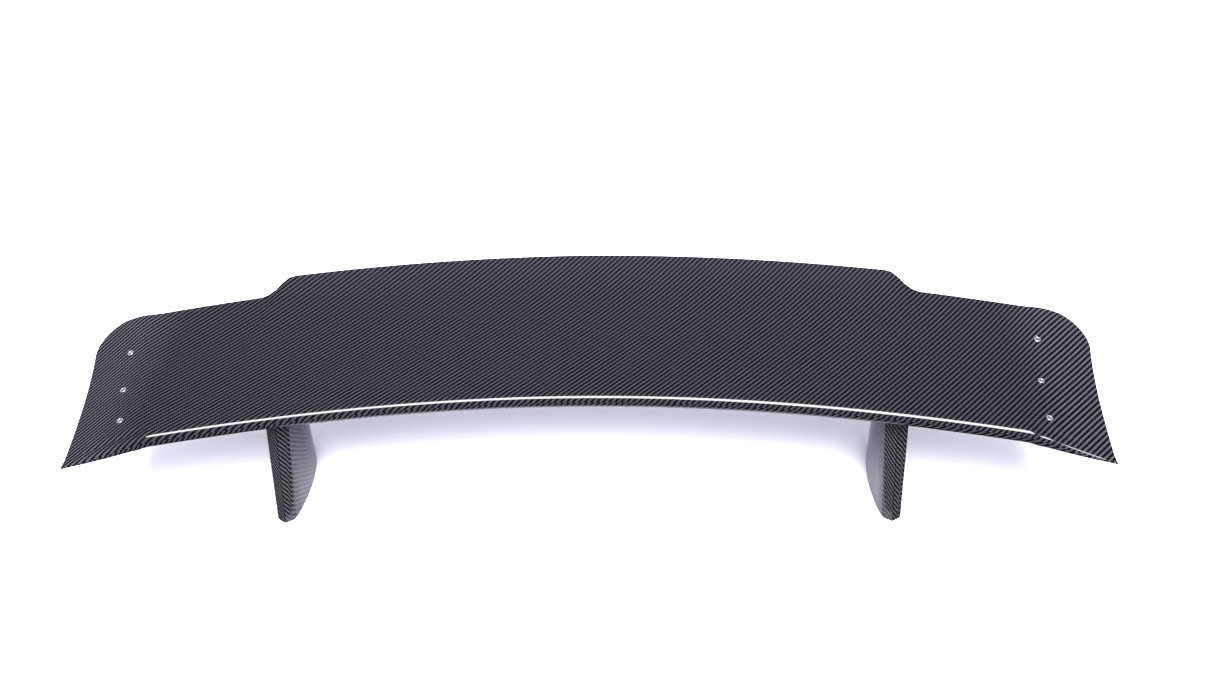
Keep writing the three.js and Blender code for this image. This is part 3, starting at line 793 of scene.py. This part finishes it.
def milledMaterial():
    finish = milledFinish
    material, tree, shader = newMaterial("milledAluminium")
    position = objectPosition(tree)
    marks = grain(tree, stretched(tree, position, finish["stretch"]), 1.0, finish["markDetail"])
    cloud = grain(tree, position, finish["cloudScale"], finish["cloudDetail"])
    tone = blendColour(tree, marks, finish["dark"], finish["light"])
    worn = blendColour(tree, calc(tree, "MULTIPLY", cloud, finish["wornShare"]), tone, finish["worn"])
    link(tree, worn, shader.inputs["Base Color"])
    shader.inputs["Metallic"].default_value = finish["metallic"]
    rough = calc(tree, "MULTIPLY_ADD", marks, finish["roughGain"], finish["roughBase"])
    link(tree, rough, shader.inputs["Roughness"])
    link(tree, bumpFrom(tree, marks, finish["bump"]), shader.inputs["Normal"])
    return material


# Turned steel of the sleeves and studs.
turnedFinish = {
    "grainScale": 2600, "grainDetail": 2.0, "dark": (0.5, 0.5, 0.52, 1), "light": (0.78, 0.78, 0.8, 1),
    "metallic": 0.8, "roughGain": 0.2, "roughBase": 0.18, "bump": 0.00002,
}


def turnedMaterial():
    finish = turnedFinish
    material, tree, shader = newMaterial("turnedSteel")
    position = objectPosition(tree)
    marks = grain(tree, position, finish["grainScale"], finish["grainDetail"])
    link(tree, blendColour(tree, marks, finish["dark"], finish["light"]), shader.inputs["Base Color"])
    shader.inputs["Metallic"].default_value = finish["metallic"]
    rough = calc(tree, "MULTIPLY_ADD", marks, finish["roughGain"], finish["roughBase"])
    link(tree, rough, shader.inputs["Roughness"])
    link(tree, bumpFrom(tree, marks, finish["bump"]), shader.inputs["Normal"])
    return material


print("materials ready")


def dress(piece, material):
    piece.data.materials.clear()
    piece.data.materials.append(material)


bladeCarbon = carbonMaterial("bladeCarbon")
uprightCarbon = carbonMaterial("uprightCarbon")
bareLaminate = laminateMaterial()
coreFoam = foamMaterial()
milledAluminium = milledMaterial()
turnedSteel = turnedMaterial()

for side, word in ((1, "upper"), (-1, "lower")):
    skin = bladeSkin(f"{word}Skin", side)
    drillSkin(skin)
    dress(skin, bladeCarbon)
    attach(skin, "root")
    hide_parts(f"blade_{word}_skin")
print("blade skins laid")

for label, (x, y) in sleeves.items():
    sleeve = sleevePiece(f"sleeve_{label}", x, y)
    dress(sleeve, turnedSteel)
    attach(sleeve, "root")
    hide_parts(f"end_insert_{label}")
print("sleeves set")

for label, sign in (("left", -1), ("right", 1)):
    for word, side in (("outer", sign), ("inner", -sign)):
        half = uprightHalf(f"upright_{label}_{word}", sign * uprightShape["x"], side)
        dress(half, uprightCarbon)
        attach(half, "root")
        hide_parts(f"upright_{label}_{word}_half")
print("uprights moulded")

keptFinishes = {
    "bare_laminate": bareLaminate, "core_foam": coreFoam, "block_aluminium": milledAluminium,
    "sleeve_steel": turnedSteel, "blade_carbon": bladeCarbon, "upright_carbon": uprightCarbon,
}
for subpart in frame["record"]["subparts"]:
    node = frame["nodes"][subpart["node"]]
    dress(node, keptFinishes[subpart["material_slot"]])
print("inner parts finished")


# Studio: a pale floor, dim surroundings and one large soft light in front and above. The floor carries a
# painted
# reflection: mirror rays see it dimmed, and nearly black where it lies in front of the wing or outside the
# uprights.
studio = {
    "floorHalf": 7.0, "floorSteps": 8, "floorTone": (0.86, 0.855, 0.96, 1), "floorRough": 0.9,
    "floorSpecular": 0.1, "speckleTone": (0.8, 0.8, 0.85, 1), "speckleScale": 30, "speckleDetail": 3.0,
    "speckleShare": 0.02, "paintedReflectionTone": (0.62, 0.61, 0.73, 1), "paintedDarkReflectionTone": (0.01, 0.01, 0.012, 1),
    "darkReflectionFront": -0.165, "darkReflectionBow": 0.2, "darkReflectionSide": 0.415,
    "skyLow": (0.03, 0.029, 0.038, 1), "skyHigh": (0.1, 0.097, 0.12, 1), "skyFrom": 0.45, "skyTo": 1.0,
    "fill": 1.5, "fillBlue": 1.06,
    "keyStrength": 7.0, "keyHeight": 59, "keySide": 8, "keySize": 36,
}


def studioFloor():
    steps = studio["floorSteps"]
    mesh = bmesh.new()
    bmesh.ops.create_grid(mesh, x_segments=steps, y_segments=steps, size=studio["floorHalf"])
    floor = finishedPiece("floor", mesh, plainSharpAngle)
    material, tree, shader = newMaterial("paleFloor")
    speckle = grain(tree, objectPosition(tree), studio["speckleScale"], studio["speckleDetail"])
    share = calc(tree, "MULTIPLY", speckle, studio["speckleShare"])
    tone = blendColour(tree, share, studio["floorTone"], studio["speckleTone"])
    parts = tree.nodes.new("ShaderNodeSeparateXYZ")
    tree.links.new(objectPosition(tree), parts.inputs[0])
    across, along = parts.outputs[0], parts.outputs[1]
    bowed = calc(tree, "MULTIPLY", calc(tree, "MULTIPLY", across, across), studio["darkReflectionBow"])
    ahead = calc(tree, "LESS_THAN", calc(tree, "ADD", along, bowed), studio["darkReflectionFront"])
    aside = calc(tree, "GREATER_THAN", calc(tree, "ABSOLUTE", across), studio["darkReflectionSide"])
    darkReflectionMask = calc(tree, "MAXIMUM", ahead, aside)
    # Painted reflection: a dimmed floor colour for mirror rays, near black ahead of the wing and outside the
    # uprights.
    mirrored = tree.nodes.new("ShaderNodeLightPath").outputs["Is Glossy Ray"]
    reflected = blendColour(tree, darkReflectionMask, studio["paintedReflectionTone"], studio["paintedDarkReflectionTone"])
    link(tree, blendColour(tree, mirrored, tone, reflected), shader.inputs["Base Color"])
    shader.inputs["Roughness"].default_value = studio["floorRough"]
    shader.inputs["Specular IOR Level"].default_value = studio["floorSpecular"]
    dress(floor, material)


def studioWorld():
    world = bpy.data.worlds.new("studio")
    world.use_nodes = True
    bpy.context.scene.world = world
    tree = world.node_tree
    direction = tree.nodes.new("ShaderNodeTexCoord").outputs["Generated"]
    parts = tree.nodes.new("ShaderNodeSeparateXYZ")
    tree.links.new(direction, parts.inputs[0])
    rise = tree.nodes.new("ShaderNodeMapRange")
    tree.links.new(parts.outputs[2], rise.inputs["Value"])
    rise.inputs["From Min"].default_value = studio["skyFrom"]
    rise.inputs["From Max"].default_value = studio["skyTo"]
    tone = blendColour(tree, rise.outputs[0], studio["skyLow"], studio["skyHigh"])
    bounced = tree.nodes.new("ShaderNodeLightPath").outputs["Is Diffuse Ray"]
    soft = (studio["fill"], studio["fill"], studio["fill"] * studio["fillBlue"], 1)
    tree.links.new(blendColour(tree, bounced, tone, soft), tree.nodes["Background"].inputs["Color"])


def studioLights():
    data = bpy.data.lights.new("keyLight", "SUN")
    data.energy = studio["keyStrength"]
    data.angle = math.radians(studio["keySize"])
    height = math.radians(studio["keyHeight"])
    aside = math.radians(studio["keySide"])
    level = math.cos(height)
    source = Vector((math.sin(aside) * level, -math.cos(aside) * level, math.sin(height)))
    light = bpy.data.objects.new("keyLight", data)
    light.rotation_euler = (-source).to_track_quat("-Z", "Y").to_euler()
    bpy.context.scene.collection.objects.link(light)


viewpoint = {
    "place": (0.07504, -1.2092, 1.10194), "right": (0.999518, 0.019188, -0.024394),
    "up": (0.008007, 0.599946, 0.800000), "back": (0.029986, -0.799810, 0.599504), "lens": 33.21,
    "sensor": 36, "nearest": 0.05, "farthest": 60,
}


def studioCamera():
    data = bpy.data.cameras.new("camera")
    data.sensor_width = viewpoint["sensor"]
    data.lens = viewpoint["lens"]
    data.clip_start = viewpoint["nearest"]
    data.clip_end = viewpoint["farthest"]
    camera = bpy.data.objects.new("camera", data)
    turn = Matrix((viewpoint["right"], viewpoint["up"], viewpoint["back"])).transposed()
    camera.matrix_world = Matrix.Translation(viewpoint["place"]) @ turn.to_4x4()
    bpy.context.scene.collection.objects.link(camera)
    bpy.context.scene.camera = camera


studioFloor()
studioWorld()
studioLights()
studioCamera()
bpy.context.scene.view_settings.view_transform = "Standard"
print("studio lit")
